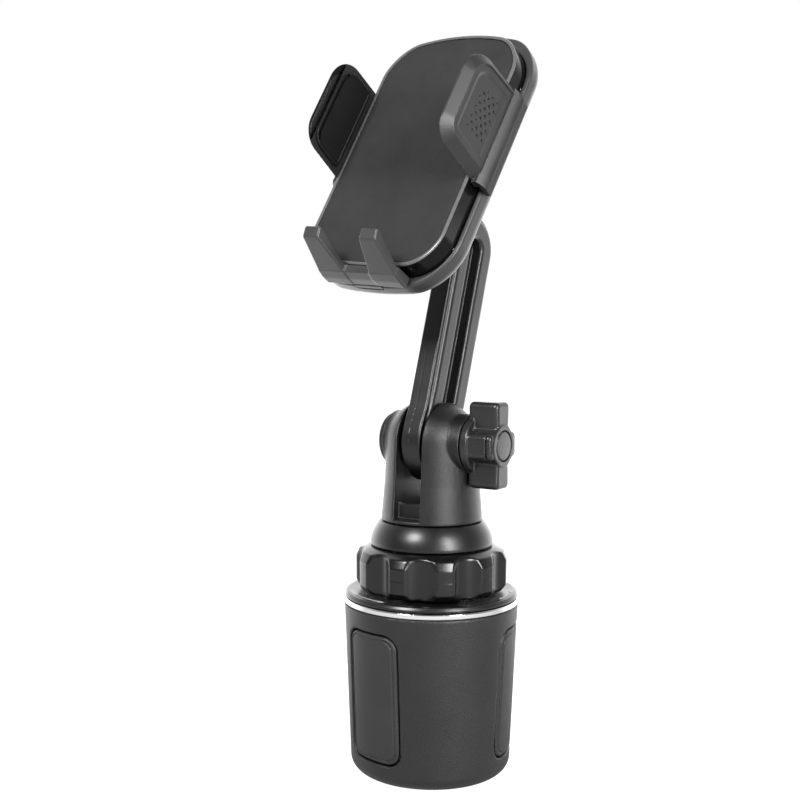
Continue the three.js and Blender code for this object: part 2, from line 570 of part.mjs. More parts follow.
function pinion() {
  const points = [];
  for (let i = 0; i < PINION_TEETH; i += 1) {
    const centre = (i * 360) / PINION_TEETH;
    [[4.9, -9], [5.9, -6], [6.7, -2.5], [6.7, 2.5], [5.9, 6], [4.9, 9]].forEach(([radius, offset]) => {
      points.push(arc(0, 0, radius, centre + offset, 0, 1)[0]);
    });
  }
  return cut(slab(polygon(points), RACK_LOW + 0.1, RACK_HIGH - 0.1), rod(1.7, -9, 0, 16)).translate(0, PINION_Y, 0);
}

function jawShape(inset) {
  const [lowCorner, highCorner] = [7 - inset, 12 - inset];
  const [low, high, front] = [JAW_LOW + inset, JAW_HIGH - inset, JAW_FRONT - inset];
  return polygon([
    [low, RACK_LOW + inset], [high - JAW_TAPER, RACK_LOW + inset],
    ...arc(high - highCorner, front - highCorner, highCorner, 0, 88, 5),
    ...arc(low + JAW_TAPER + lowCorner, front - lowCorner, lowCorner, 92, 172, 5)]);
}

// the blades lean inwards towards their tips
const JAW_LEAN = new THREE.Matrix4().set(1, 0, -JAW_INWARD, 0, 0, 1, 0, 0, 0, 0, 1, 0, 0, 0, 0, 1);
const mirrored = (geometry) => geometry.applyMatrix4(new THREE.Matrix4().makeScale(-1, 1, 1));

function jawBlade() {
  const blade = join(
    sideSlab(jawShape(0), JAW_INNER, JAW_OUTER - JAW_BEVEL),
    sideSlab(jawShape(JAW_BEVEL), JAW_INNER, JAW_OUTER));
  const flangeSide = polygon([
    [JAW_LOW - 1, FLANGE_LOW], [JAW_HIGH - JAW_TAPER, FLANGE_LOW], [JAW_HIGH - 1, FLANGE_TOP], [JAW_LOW, FLANGE_TOP]]);
  const flange = sideSlab(flangeSide, SHELL_HALF + GAP, JAW_OUTER + 1.4);
  const recess = sideSlab(roundedBox(-6.8, 25.5, FLANGE_TOP, 18.5, 5), JAW_OUTER - 0.8, JAW_OUTER + 0.1);
  return cut(join(blade, flange), recess).applyMatrix4(JAW_LEAN);
}

// the left jaw's blade is the right one's mirror image, while its rack is turned half a turn about the pinion
function jaw(side) {
  const blade = side > 0 ? jawBlade() : mirrored(jawBlade());
  const rack = slab(rackShape(), RACK_LOW, RACK_HIGH).rotateZ(side > 0 ? 0 : Math.PI).translate(0, PINION_Y, 0);
  return join(blade, rack);
}

const jawPad = (side) => {
  const pad = sideSlab(roundedBox(-8.6, 26, 1.5, 21.4, 6), JAW_INNER - 0.9, JAW_INNER - 0.1).applyMatrix4(JAW_LEAN);
  return side > 0 ? pad : mirrored(pad);
};

// the foot's plate: outer and inner face below the cradle's end, and half its width
const FOOT_OUTER = -56.9;
const FOOT_INNER = -52.9;
const FOOT_HALF = 19.4;
const TONGUE_HALF = 7;
const TONGUE_LOW = -9.8;

function foot() {
  const clawInner = 6.3;
  const clawTip = 18;
  const bar = box(-FOOT_HALF, FOOT_HALF, FOOT_OUTER, FOOT_INNER, RACK_LOW, 0.8);
  const claw = polygon([[FOOT_OUTER, RACK_LOW], [FOOT_OUTER + 0.1, -3], [-56, 1.5], [-53, 11], [-51, 16.4],
    [-46.6, 17.6], [-46.6, 15.2], [FOOT_INNER, 2.2], [FOOT_INNER, RACK_LOW]]);
  const splay = polygon([
    [clawInner, -8], [FOOT_HALF, -8], [18, clawTip], [10.5, clawTip], [clawInner, 0.8]]);
  const prong = overlap(sideSlab(claw, 6, 20), slab(splay, 40, 60).rotateX(Math.PI / 2));
  return join(bar, prong, mirrored(prong.clone()),
    box(-TONGUE_HALF, TONGUE_HALF, FOOT_OUTER, FOOT_INNER - GAP, TONGUE_LOW, RACK_LOW + 1),
    box(-TONGUE_HALF, TONGUE_HALF, FOOT_OUTER, -22, TONGUE_LOW, -7.5));
}

function releaseButton() {
  return join(
    slab(roundedBox(-5.7, 5.7, BUTTON_Y - 7.7, BUTTON_Y + 7.7, 1.8), -SHELL_DEPTH - 1.4, -13.5),
    slab(roundedBox(-7.2, 7.2, BUTTON_Y - 9.2, BUTTON_Y + 9.2, 1.8), 2.3 - SHELL_DEPTH, -12),
    sideSlab(polygon([[37, -13], [39.9, -13], [39.9, -7.2], [37.4, -4.7], [37, -4.7]]), -4.4, 4.4));
}

class Helix extends THREE.Curve {
  constructor(radius, z0, z1, turns) {
    super();
    Object.assign(this, { radius, z0, z1, turns });
  }

  getPoint(t, target = new THREE.Vector3()) {
    const angle = t * this.turns * 2 * Math.PI;
    return target.set(
      this.radius * Math.cos(angle), this.radius * Math.sin(angle), this.z0 + (this.z1 - this.z0) * t);
  }
}

function releaseSpring() {
  const wire = polygon(arc(0, 0, 0.45, 0, 300, 5));
  const path = new Helix(3.2, -11.2, -5.2, 4);
  return new THREE.ExtrudeGeometry(wire, { steps: 48, extrudePath: path, bevelEnabled: false })
    .translate(0, BUTTON_Y, 0);
}

// the pawl's bar faces the upper rack's ratchet teeth, and its sloping crossbar rides on the button's wedge
const latchPawl = () => join(
  box(-7, 7, 23.4, 27.2, RACK_LOW, RACK_HIGH),
  box(5, 7, 26, 41, RACK_LOW, RACK_HIGH),
  box(-7, -5, 26, 41, RACK_LOW, RACK_HIGH),
  sideSlab(polygon([[40.1, RACK_LOW], [42, RACK_LOW], [42, RACK_HIGH], [37.6, RACK_HIGH]]), -7, 7));

piece("jaw_right", jaw(1), SATIN, cradle);
piece("jaw_left", jaw(-1), SATIN, cradle);
piece("jaw_pad_right", jawPad(1), RUBBER, cradle);
piece("jaw_pad_left", jawPad(-1), RUBBER, cradle);
piece("jaw_pinion", pinion(), INNER, cradle);
piece("foot", foot(), SATIN, cradle);
piece("release_button", releaseButton(), GLOSS, cradle);
piece("release_spring", releaseSpring(), STEEL, cradle);
piece("latch_pawl", latchPawl(), INNER, cradle);

export default mount;
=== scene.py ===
"""Cup-holder phone mount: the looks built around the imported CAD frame.

Each visible piece is written as a distance function in millimetres (negative inside the piece), in one of three
local frames, and is meshed from that function. Turned and flat pieces are lofted from their sections.
"""
import json
import math

import bmesh
import bpy
import numpy as np
from mathutils import Matrix, Vector


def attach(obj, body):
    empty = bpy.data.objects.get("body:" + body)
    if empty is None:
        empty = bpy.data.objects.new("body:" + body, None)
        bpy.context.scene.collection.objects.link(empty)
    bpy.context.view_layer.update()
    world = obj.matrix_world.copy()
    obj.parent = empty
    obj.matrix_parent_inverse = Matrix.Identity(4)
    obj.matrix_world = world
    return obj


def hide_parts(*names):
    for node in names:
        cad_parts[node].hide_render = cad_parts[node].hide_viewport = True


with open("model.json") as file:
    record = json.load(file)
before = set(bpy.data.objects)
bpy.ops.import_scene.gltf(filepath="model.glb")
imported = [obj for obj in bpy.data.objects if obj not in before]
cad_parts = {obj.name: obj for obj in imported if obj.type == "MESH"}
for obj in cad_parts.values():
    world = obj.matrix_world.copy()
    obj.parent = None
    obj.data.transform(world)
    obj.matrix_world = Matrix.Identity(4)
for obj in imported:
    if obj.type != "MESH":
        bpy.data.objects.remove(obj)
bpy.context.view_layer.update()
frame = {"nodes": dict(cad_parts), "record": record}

MM = 1000.0
COARSER = 1.0

# ---------------------------------------------------------------- frames: origin (mm) and axes (rows), from the record
joints = {j["name"]: j for j in frame["record"]["behaviour"]["joints"]}
PIVOT = joints["arm_tilt"]["pos_m"][2] * MM
ARM_LEAN = math.radians(18.3)
BALL = np.array(joints["cradle_spin"]["pos_m"]) * MM
RIGHT, UP, OUT = (np.array(joints[j]["axis"]) for j in ("ball_pitch", "ball_yaw", "cradle_spin"))
BALL_Y, BALL_Z = -14.95, -27.95          # the ball in the cradle's frame
WORLD = (np.zeros(3), np.eye(3))
PIVOTED = (np.array([0, 0, PIVOT]), np.eye(3))
ARM = (PIVOTED[0], np.array([[1, 0, 0], [0, math.cos(ARM_LEAN), -math.sin(ARM_LEAN)],
                             [0, math.sin(ARM_LEAN), math.cos(ARM_LEAN)]]))
CRADLE = (BALL - UP * BALL_Y - OUT * BALL_Z, np.array([RIGHT, UP, OUT]))
BALLED = (BALL, CRADLE[1])

# ---------------------------------------------------------------- distance functions
hyp = np.hypot


def union(a, b, k=0.0):
    """Either shape, with a fillet about k wide where they meet."""
    near = np.maximum(k - np.abs(a - b), 0) / k if k else 0.0
    return np.minimum(a, b) - near * near * k * 0.25


def both(a, b, k=0.0):
    """What two shapes share, with its new edge rounded over k."""
    return -union(-a, -b, k)


def less(a, b, k=0.0):
    """Shape a with shape b cut out of it."""
    return both(a, -b, k)


def between(x, lo, hi):
    return np.maximum(lo - x, x - hi)


def rrect(x, y, hx, hy, r):
    """A rounded rectangle with half sizes hx, hy and corner radius r."""
    qx, qy = np.abs(x) - hx + r, np.abs(y) - hy + r
    return hyp(np.maximum(qx, 0), np.maximum(qy, 0)) + np.minimum(np.maximum(qx, qy), 0) - r


def poly(x, y, points, r=0.0):
    """Distance to a polygon, grown by r."""
    d = np.full(x.shape, 1e9)
    inside = np.zeros(x.shape, bool)
    for (ax, ay), (bx, by) in zip(points, points[1:] + points[:1]):
        ex, ey = bx - ax, by - ay
        wx, wy = x - ax, y - ay
        t = np.clip((wx * ex + wy * ey) / (ex * ex + ey * ey), 0, 1)
        d = np.minimum(d, (wx - ex * t) ** 2 + (wy - ey * t) ** 2)
        if ey:
            inside ^= ((ay <= y) != (by <= y)) & (x < ex * wy / ey + ax)
    return np.where(inside, -1, 1) * np.sqrt(d) - r


def arc(cx, cy, r, start, end, steps=8):
    angles = np.radians(np.linspace(start, end, steps + 1))
    return [(cx + r * math.cos(a), cy + r * math.sin(a)) for a in angles]


def folded(x, y, count, first):
    """Radius and tangential offset from the nearest of `count` equally spaced directions."""
    rho, theta = hyp(x, y), np.arctan2(y, x)
    pitch = 2 * math.pi / count
    delta = (theta - math.radians(first) + pitch / 2) % pitch - pitch / 2
    return rho, rho * np.cos(delta), rho * np.sin(delta)


# ---------------------------------------------------------------- meshing
CHUNK = 300000                           # points evaluated at once
EDGE_REACH = 0.7                         # how far a vertex may leave its cell, in grid steps


def evaluate(f, p):
    return np.concatenate([f(p[i:i + CHUNK]) for i in range(0, len(p), CHUNK)])


def gradient(f, p, h):
    steps = np.eye(3) * h
    g = np.stack([evaluate(f, p + s) - evaluate(f, p - s) for s in steps], -1)
    return g / (2 * h)


def surface_net(f, lo, hi, step):
    """Vertices, quads and normals of the surface f = 0: one vertex in each grid cell that the surface crosses."""
    block = 4
    lo = np.array(lo, float) - 2 * step
    count = np.ceil((np.array(hi) - lo) / step + 3).astype(int)
    blocks = -(-count // block)
    centres = np.stack(np.meshgrid(*[lo[i] + (np.arange(blocks[i]) + 0.4) * block * step for i in range(3)],
                                   indexing="ij"), -1).reshape(-1, 3)
    rough = evaluate(f, centres).reshape(blocks)
    field = rough.repeat(block, 0).repeat(block, 1).repeat(block, 2)
    near = np.argwhere(np.abs(rough) < block * step * 1.4)
    offsets = np.stack(np.meshgrid(*[np.arange(block)] * 3, indexing="ij"), -1).reshape(-1, 3)
    fine = (near[:, None] * block + offsets).reshape(-1, 3)
    field[tuple(fine.T)] = evaluate(f, lo + fine * step)
    solid = field < 0
    corner = [(i, j, k) for i in (0, 1) for j in (0, 1) for k in (0, 1)]
    shape = np.array(field.shape) - 1
    view = lambda a, c: a[c[0]:c[0] + shape[0], c[1]:c[1] + shape[1], c[2]:c[2] + shape[2]]
    total = sum(view(solid, c).astype(np.int8) for c in corner)
    cells = np.argwhere((total > 0) & (total < 8))
    values = np.stack([field[tuple((cells + c).T)] for c in corner], -1)
    place, crossings = np.zeros((len(cells), 3)), np.zeros(len(cells))
    for a in range(8):
        for b in range(a + 1, 8):
            if sum(abs(np.subtract(corner[a], corner[b]))) == 1:
                crossed = (values[:, a] < 0) != (values[:, b] < 0)
                t = values[:, a] / np.where(crossed, values[:, a] - values[:, b], 1)
                point = np.array(corner[a]) + t[:, None] * np.subtract(corner[b], corner[a])
                place += np.where(crossed[:, None], point, 0)
                crossings += crossed
    verts = lo + (cells + place / crossings[:, None]) * step
    start = verts.copy()
    for _ in range(3):
        g = gradient(f, verts, 0.04)
        slope = np.maximum((g * g).sum(-1, keepdims=True), 0.05)
        moved = verts - g * (evaluate(f, verts)[:, None] / slope) - start
        verts = start + np.clip(moved, -EDGE_REACH * step, EDGE_REACH * step)
    index = np.full(shape, -1, np.int32)
    index[tuple(cells.T)] = np.arange(len(cells))
    quads = []
    for a in range(3):
        b, c = (a + 1) % 3, (a + 2) % 3
        first = np.take(solid, range(solid.shape[a] - 1), a)
        second = np.take(solid, range(1, solid.shape[a]), a)
        edges = np.argwhere(first != second)
        edges = edges[(edges[:, b] > 0) & (edges[:, c] > 0)]
        out = first[tuple(edges.T)]
        ring = []
        for db, dc in ((1, 1), (0, 1), (0, 0), (1, 0)):
            cell = edges.copy()
            cell[:, b] -= db
            cell[:, c] -= dc
            ring.append(index[tuple(np.minimum(cell, shape - 1).T)])
        ring = np.stack(ring, -1)
        ring[~out] = ring[~out][:, ::-1]
        quads.append(ring[(ring >= 0).all(-1)])
    normals = gradient(f, verts, 0.22 * step)
    normals /= np.maximum(np.linalg.norm(normals, axis=-1, keepdims=True), 1e-9)
    return verts, np.concatenate(quads), normals


def make(name, verts, faces, local, finish, body, replaces=(), normals=None, smooth=True):
    """An object from points in a local frame, in mm, riding on a CAD body."""
    origin, axes = local
    mesh = bpy.data.meshes.new(name)
    points = (np.asarray(verts) @ axes + origin) / MM
    faces = faces if isinstance(faces, list) else faces.tolist()
    if np.linalg.det(axes) < 0:
        faces = [face[::-1] for face in faces]
    mesh.from_pydata(points.tolist(), [], faces)
    mesh.polygons.foreach_set("use_smooth", [smooth] * len(mesh.polygons))
    if normals is not None:
        mesh.normals_split_custom_set_from_vertices((normals @ axes).tolist())
    mesh.materials.append(finish)
    piece = bpy.data.objects.new(name, mesh)
    bpy.context.collection.objects.link(piece)
    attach(piece, body)
    if replaces:
        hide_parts(*replaces)
    return piece


def carved(name, f, lo, hi, step, local, finish, body, replaces=()):
    verts, quads, normals = surface_net(lambda p: f(*p.T), lo, hi, step * COARSER)
    return make(name, verts, quads, local, finish, body, replaces, normals)


def turned(name, sections, local, finish, body, replaces=(), around=144):
    """A turned piece: each section is a closed list of (radius, height)."""
    verts, faces = [], []
    angles = np.linspace(0, 2 * math.pi, around, endpoint=False)
    for section in sections:
        base, n = len(verts), len(section)
        for a in angles:
            verts += [(r * math.cos(a), r * math.sin(a), z) for r, z in section]
        for i in range(around):
            here, there = base + i * n, base + (i + 1) % around * n
            for j in range(n):
                k = (j + 1) % n
                faces.append([here + j, there + j, there + k, here + k])
    piece = make(name, verts, faces, local, finish, body, replaces)
    tidy(piece)
    return piece


def tidy(piece, angle=35):
    """Merges points on the axis, turns faces outwards and keeps creases crisp."""
    bm = bmesh.new()
    bm.from_mesh(piece.data)
    bmesh.ops.remove_doubles(bm, verts=bm.verts, dist=2e-6)
    bmesh.ops.dissolve_degenerate(bm, edges=bm.edges, dist=1e-7)
    bmesh.ops.recalc_face_normals(bm, faces=bm.faces)
    for edge in bm.edges:
        edge.smooth = len(edge.link_faces) == 2 and edge.calc_face_angle(0) < math.radians(angle)
    bm.to_mesh(piece.data)
    bm.free()


def soften(points, radius, steps=6):
    """A closed polygon with its corners rounded; a third value on a point is that corner's own radius."""
    result, common = [], radius
    for i, p in enumerate(points):
        radius = p[2] if len(p) > 2 else common
        p = np.array(p[:2], float)
        a, b = np.array(points[i - 1][:2]) - p, np.array(points[(i + 1) % len(points)][:2]) - p
        la, lb = np.linalg.norm(a), np.linalg.norm(b)
        a, b = a / la, b / lb
        half = math.acos(np.clip(a @ b, -1, 1)) / 2
        if half > 1.5:
            result.append(tuple(p))
            continue
        reach = min(radius / math.tan(half), 0.45 * min(la, lb))
        r = reach * math.tan(half)
        middle = (a + b) / np.linalg.norm(a + b)
        centre = p + middle * (reach / math.cos(half))
        start, end = p + a * reach - centre, p + b * reach - centre
        for t in np.linspace(0, 1, steps + 1):
            d = start * (1 - t) + end * t
            q = centre + d / np.linalg.norm(d) * r
            result.append((max(q[0], 0.0) if abs(p[0]) <= 0.01 else q[0], q[1]))
    return result


def lofted(name, outline, rings, local, finish, body, replaces=(), closed=False, angle=30):
    """outline(inset) swept through (inset, height) rings; both ends are capped unless the loft closes on itself."""
    verts, faces = [], []
    for inset, z in rings:
        loop = outline(inset)
        verts += [(x, y, z) for x, y in loop]
    n = len(loop)
    for k in range(len(rings) - (0 if closed else 1)):
        a, b = k * n, (k + 1) % len(rings) * n
        faces += [[a + i, a + (i + 1) % n, b + (i + 1) % n, b + i] for i in range(n)]
    if not closed:
        faces.append(list(range(n)))
        faces.append(list(range((len(rings) - 1) * n, len(rings) * n))[::-1])
    piece = make(name, verts, faces, local, finish, body, replaces)
    tidy(piece, angle)
    return piece


# ---------------------------------------------------------------- materials
def material(name):
    m = bpy.data.materials.new(name)
    m.use_nodes = True
    return m, m.node_tree.nodes, m.node_tree.links, m.node_tree.nodes["Principled BSDF"]


def ramp(nodes, links, source, low, high, start=0.3, end=0.7):
    r = nodes.new("ShaderNodeMapRange")
    r.inputs["From Min"].default_value, r.inputs["From Max"].default_value = start, end
    r.inputs["To Min"].default_value, r.inputs["To Max"].default_value = low, high
    links.new(source, r.inputs["Value"])
    return r.outputs["Result"]


def maths(nodes, links, operation, *sources):
    """A Math node; each source is a socket or a number."""
    node = nodes.new("ShaderNodeMath")
    node.operation = operation
    for source, socket in zip(sources, node.inputs):
        if isinstance(source, float):
            socket.default_value = source
        else:
            links.new(source, socket)
    return node.outputs[0]


def noise(nodes, links, coords, scale, detail=3.0, rough=0.6):
    n = nodes.new("ShaderNodeTexNoise")
    n.inputs["Scale"].default_value = scale
    n.inputs["Detail"].default_value = detail
    n.inputs["Roughness"].default_value = rough
    links.new(coords, n.inputs["Vector"])
    return n.outputs["Fac"]


PEBBLES = 2100                           # leather cells in a metre


def plastic(name, shade, rough, grain=1500, height=0.00004, pebble=0.0, mottle=0.12, wear=0.5, specular=0.5,
            coat=0.0, tint=(1.0, 1.0, 1.012)):
    """Moulded plastic or rubber: fine grain, a pebbled leather grain, faint mottling, and edges rubbed paler."""
    m, nodes, links, shader = material(name)
    coords = nodes.new("ShaderNodeTexCoord").outputs["Object"]
    cloudy = noise(nodes, links, coords, 60, 4)
    speckle = noise(nodes, links, coords, grain * 0.7, 2)
    geometry = nodes.new("ShaderNodeNewGeometry")
    edge = ramp(nodes, links, geometry.outputs["Pointiness"], 0.0, wear, 0.52, 0.62)
    rubbed = maths(nodes, links, "MULTIPLY", edge, ramp(nodes, links, cloudy, 0.5, 1.0))
    specks = ramp(nodes, links, speckle, -mottle * 0.6, mottle * 0.6)
    tone = maths(nodes, links, "ADD", specks, ramp(nodes, links, cloudy, 1 - mottle, 1 + mottle))
    brightness = maths(nodes, links, "ADD", tone, rubbed)
    colour = nodes.new("ShaderNodeMix")
    colour.data_type = "RGBA"
    colour.inputs["A"].default_value = (0, 0, 0, 1)
    colour.inputs["B"].default_value = (*[shade * 2 * t for t in tint], 1)
    links.new(maths(nodes, links, "MULTIPLY", brightness, 0.5), colour.inputs["Factor"])
    links.new(colour.outputs["Result"], shader.inputs["Base Color"])
    links.new(ramp(nodes, links, cloudy, rough - 0.04, rough + 0.05), shader.inputs["Roughness"])
    shader.inputs["Specular IOR Level"].default_value = specular
    shader.inputs["Coat Weight"].default_value = coat
    shader.inputs["Coat Roughness"].default_value = 0.12
    fine = nodes.new("ShaderNodeBump")
    fine.inputs["Strength"].default_value = 1.0
    fine.inputs["Distance"].default_value = height
    links.new(noise(nodes, links, coords, grain, 4, 0.7), fine.inputs["Height"])
    last = fine
    if pebble:
        cells = nodes.new("ShaderNodeTexVoronoi")
        cells.feature = "SMOOTH_F1"
        cells.inputs["Scale"].default_value = PEBBLES
        links.new(coords, cells.inputs["Vector"])
        leather = nodes.new("ShaderNodeBump")
        leather.invert = True
        leather.inputs["Strength"].default_value = 1.0
        leather.inputs["Distance"].default_value = pebble
        links.new(cells.outputs["Distance"], leather.inputs["Height"])
        links.new(fine.outputs["Normal"], leather.inputs["Normal"])
        last = leather
    links.new(last.outputs["Normal"], shader.inputs["Normal"])
    return m


def metal(name, colour, rough, scratches=0.00001, spread=0.1):
    """Plated metal with fine scratches and cloudy patches of polish."""
    m, nodes, links, shader = material(name)
    coords = nodes.new("ShaderNodeTexCoord").outputs["Object"]
    stretch = nodes.new("ShaderNodeMapping")
    stretch.inputs["Scale"].default_value = (1, 1, 12)
    links.new(coords, stretch.inputs["Vector"])
    cloudy = noise(nodes, links, coords, 90, 4)
    tone = nodes.new("ShaderNodeMix")
    tone.data_type = "RGBA"
    tone.inputs["A"].default_value = (*[c * 0.86 for c in colour], 1)
    tone.inputs["B"].default_value = (*colour, 1)
    links.new(cloudy, tone.inputs["Factor"])
    links.new(tone.outputs["Result"], shader.inputs["Base Color"])
    links.new(ramp(nodes, links, cloudy, rough, rough + spread), shader.inputs["Roughness"])
    shader.inputs["Metallic"].default_value = 1.0
    bump = nodes.new("ShaderNodeBump")
    bump.inputs["Distance"].default_value = scratches
    links.new(noise(nodes, links, stretch.outputs["Vector"], 700, 5), bump.inputs["Height"])
    links.new(bump.outputs["Normal"], shader.inputs["Normal"])
    return m


GRAINED = plastic("grained_plastic", 0.009, 0.46, 2200, 0.00007, pebble=0.00005)
YOKED = plastic("textured_plastic", 0.003, 0.4, 2600, 0.00009, pebble=0.00005)
SATIN = plastic("satin_plastic", 0.005, 0.36, 2600, 0.00002)
SHELL = plastic("shell_plastic", 0.03, 0.38, 2600, 0.00002)
JAWED = plastic("jaw_plastic", 0.016, 0.42, 2600, 0.000025)
SKIRTED = plastic("skirt_plastic", 0.004, 0.32, 2600, 0.000012)
DIALLED = plastic("dial_plastic", 0.003, 0.24, 2600, 0.000012)
GLOSSY = plastic("gloss_plastic", 0.003, 0.14, 2600, 0.000004, specular=0.16)
LIDDED = plastic("lid_plastic", 0.005, 0.3, 2600, 0.00001)
MARKING = plastic("lid_marks", 0.3, 0.4, 2600, 0.00001)
# Paler grey than the gloss plastic: a painted highlight, standing in for the light that the bezel's glossy chamfered
# rim reflects.
RIM_PAINTED_HIGHLIGHT = plastic("rim_painted_highlight", 0.09, 0.22, 2600, 0.000004)
# The jaw plastic made paler: painted sheen standing in for the satin highlight on the claw faces.
CLAW_PAINTED_SHEEN = plastic("claw_plastic_painted_sheen", 0.028, 0.42, 2600, 0.000025)
KNOBBED = plastic("knob_plastic", 0.014, 0.3, 2600, 0.000012)
MATTE = plastic("front_pad_rubber", 0.03, 0.75, 3000, 0.000012, specular=0.06, wear=0.1)
WINGED = plastic("wing_rubber", 0.02, 0.5, 2600, 0.000015, specular=0.4, wear=0.2)
RUBBER = plastic("black_rubber", 0.003, 0.55, 2600, 0.00003, specular=0.35)
INNER = plastic("inner_plastic", 0.02, 0.55, 1800, 0.00002)
CHROME = metal("chrome_trim", (0.93, 0.93, 0.94), 0.08, 0.000004, 0.06)
STEEL = metal("zinc_steel", (0.52, 0.53, 0.55), 0.28, 0.00001)
BRASS = metal("turned_brass", (0.72, 0.52, 0.2), 0.3, 0.00001)

BY_SLOT = {"grained_black": GRAINED, "satin_black": SATIN, "gloss_black": DIALLED, "black_rubber": RUBBER,
           "soft_grey_pad": MATTE, "inner_grey": INNER, "chrome_trim": CHROME, "steel": STEEL, "brass": BRASS}
for part in frame["record"]["subparts"]:
    for material_slot in frame["nodes"][part["node"]].material_slots:
        material_slot.link = "OBJECT"
        material_slot.material = BY_SLOT[part["material_slot"]]

# ---------------------------------------------------------------- cup base
CUP_TOP, CUP_LOW_R, CUP_TOP_R = 69.0, 32.4, 35.4
WING_FIRST, WING_HALF, WING_MID, WING_REACH = -102.5, 13.4, 35.25, 26.25
CONE = math.cos(math.atan2(CUP_TOP_R - CUP_LOW_R, CUP_TOP))


def cone(rho, z):
    return (rho - CUP_LOW_R - (CUP_TOP_R - CUP_LOW_R) * z / CUP_TOP) * CONE


def cup(x, y, z):
    rho, ahead, aside = folded(x, y, 3, WING_FIRST)
    wall = cone(rho, z)
    corner = 5.5
    low = hyp(np.maximum(wall + corner, 0), np.maximum(corner - z, 0)) - corner
    body = both(np.where(z < corner, low, wall), both(z - CUP_TOP, -z), 0.5)
    body = less(body, both(wall + 2.5, 3.9 - z), 0.6)
    body = less(body, both(rho - 25.5, z - 1.5), 0.4)
    window = rrect(aside, z - WING_MID, WING_HALF, WING_REACH, 6)
    return less(body, both(window, 20 - ahead), 1.1)


carved("cup_body", cup, (-36, -36, 0), (36, 36, 70), 0.75, WORLD, GRAINED, "base", ["base_cup"])


def wing(x, y, z):
    rho, ahead, aside = folded(x, y, 1, 0)
    wall = cone(rho, z)
    window = rrect(aside, z - WING_MID, WING_HALF, WING_REACH, 6)
    body = both(both(wall + 0.05, window + 0.65, 1.3), 29.6 - ahead)
    groove = both(np.abs(window + 2.2) - 0.36, -0.4 - wall)
    return less(body, groove, 0.35)


for i in range(3):
    angle = math.radians(WING_FIRST + 120 * i)
    spin = np.array([[math.cos(angle), math.sin(angle), 0], [-math.sin(angle), math.cos(angle), 0], [0, 0, 1]])
    carved(f"wing_skin_{i + 1}", wing, (29, -14, 8), (36, 14, 63), 0.45, (np.zeros(3), spin), WINGED,
           f"wing_{i + 1}", [f"wing_pad_{i + 1}"])

turned("base_foot_pad", [soften([(0, 0), (8, 0), (8, 0.5), (10, 0.5), (10, 0), (17, 0), (17, 0.5), (19, 0.5), (19, 0),
                                 (25.2, 0), (25.2, 1.2), (0, 1.2)], 0.25)],
       WORLD, RUBBER, "base", ["foot_pad"])
turned("trim_ring", [soften([(32.5, 69.2), (35.2, 69.2), (35.6, 69.6), (35.6, 71.1), (35.2, 71.45), (32.5, 71.45)],
                            0.35)], WORLD, CHROME, "base", ["chrome_ring"])
turned("lid_disc", [soften([(11.5, 67.6), (15, 67.6), (15, 70.9), (29.2, 70.9), (29.2, 65), (32.1, 65), (32.1, 71.75),
                            (35.0, 71.75), (35.35, 72.6), (34.7, 73.8), (33.4, 74.05), (30.5, 73.75), (11.5, 73.75)],
                           0.5)], WORLD, LIDDED, "base", ["base_lid"])


def lid_arrow(name, start, end):
    """A thin raised arc with a head at each end, on the lid's rim."""
    mid, half, top = 32.6, 0.2, 74.16
    steps = 24
    verts, faces = [], []
    for i in range(steps + 1):
        t = i / steps
        a = math.radians(start + (end - start) * t)
        tip = min(t, 1 - t)
        w = half if tip > 0.14 else max(0.02, tip / 0.14 * 0.75)
        for r in (mid - w, mid + w):
            verts += [(r * math.cos(a), r * math.sin(a), top), (r * math.cos(a), r * math.sin(a), top - 0.35)]
    for i in range(steps):
        a, b = i * 4, i * 4 + 4
        faces += [[a, b, b + 2, a + 2], [b + 1, b, a, a + 1], [a + 3, a + 2, b + 2, b + 3], [a + 3, b + 3, b + 1, a + 1]]
    last = steps * 4
    faces += [[1, 0, 2, 3], [last, last + 1, last + 3, last + 2]]
    piece = make(name, verts, faces, WORLD, MARKING, "base", smooth=False)
    tidy(piece)


lid_arrow("lid_arrow_left", -128, -92)
lid_arrow("lid_arrow_right", -2, 26)


# ---------------------------------------------------------------- dial
DIAL_PROFILE = soften([(26, 74.7), (28.9, 74.7), (30.9, 77.2), (31, 87.2), (29.6, 90.6), (25.6, 92.3), (11.4, 92.3),
                       (11.4, 75.5), (14, 75.5), (14, 89.3), (26, 89.3)], 1.6)


def dial(x, y, z):
    """A turned ring with scallops for the fingers and a moulding line half way up."""
    rho, ahead, aside = folded(x, y, 10, 6.4)
    body = poly(rho, z, DIAL_PROFILE)
    scallop = rrect(aside, z - 70.3, 7.3, 21.2, 5.2)
    depth = 36.9 - np.sqrt(np.maximum(81 - aside ** 2, 1)) - ahead
    body = less(body, both(scallop, depth, 0.8), 1.0)
    return less(body, hyp(rho - 31.1, z - 82.4) - 0.16, 0.1)


carved("dial_grip", dial, (-32, -32, 74), (32, 32, 93), 0.5, WORLD, DIALLED, "dial", ["dial_ring"])

# ---------------------------------------------------------------- neck
turned("neck_cone", [soften([(2.4, 98), (9, 98), (9, 100.2), (19, 100.2), (21.4, 97.5), (22.6, 94.5), (22.9, 92.8),
                             (25.0, 92.8), (24.95, 94.2), (24.6, 95.9), (24.0, 97.6), (23.2, 99.3), (22.2, 100.9),
                             (21.1, 102.35), (2.4, 102.35)], 0.5)],
       WORLD, SKIRTED, "neck", ["neck_skirt"])


YOKE_R, DOME_HIGH, SLOT_HALF, BOLT_BORE = 18.6, 17.0, 6, 3.2


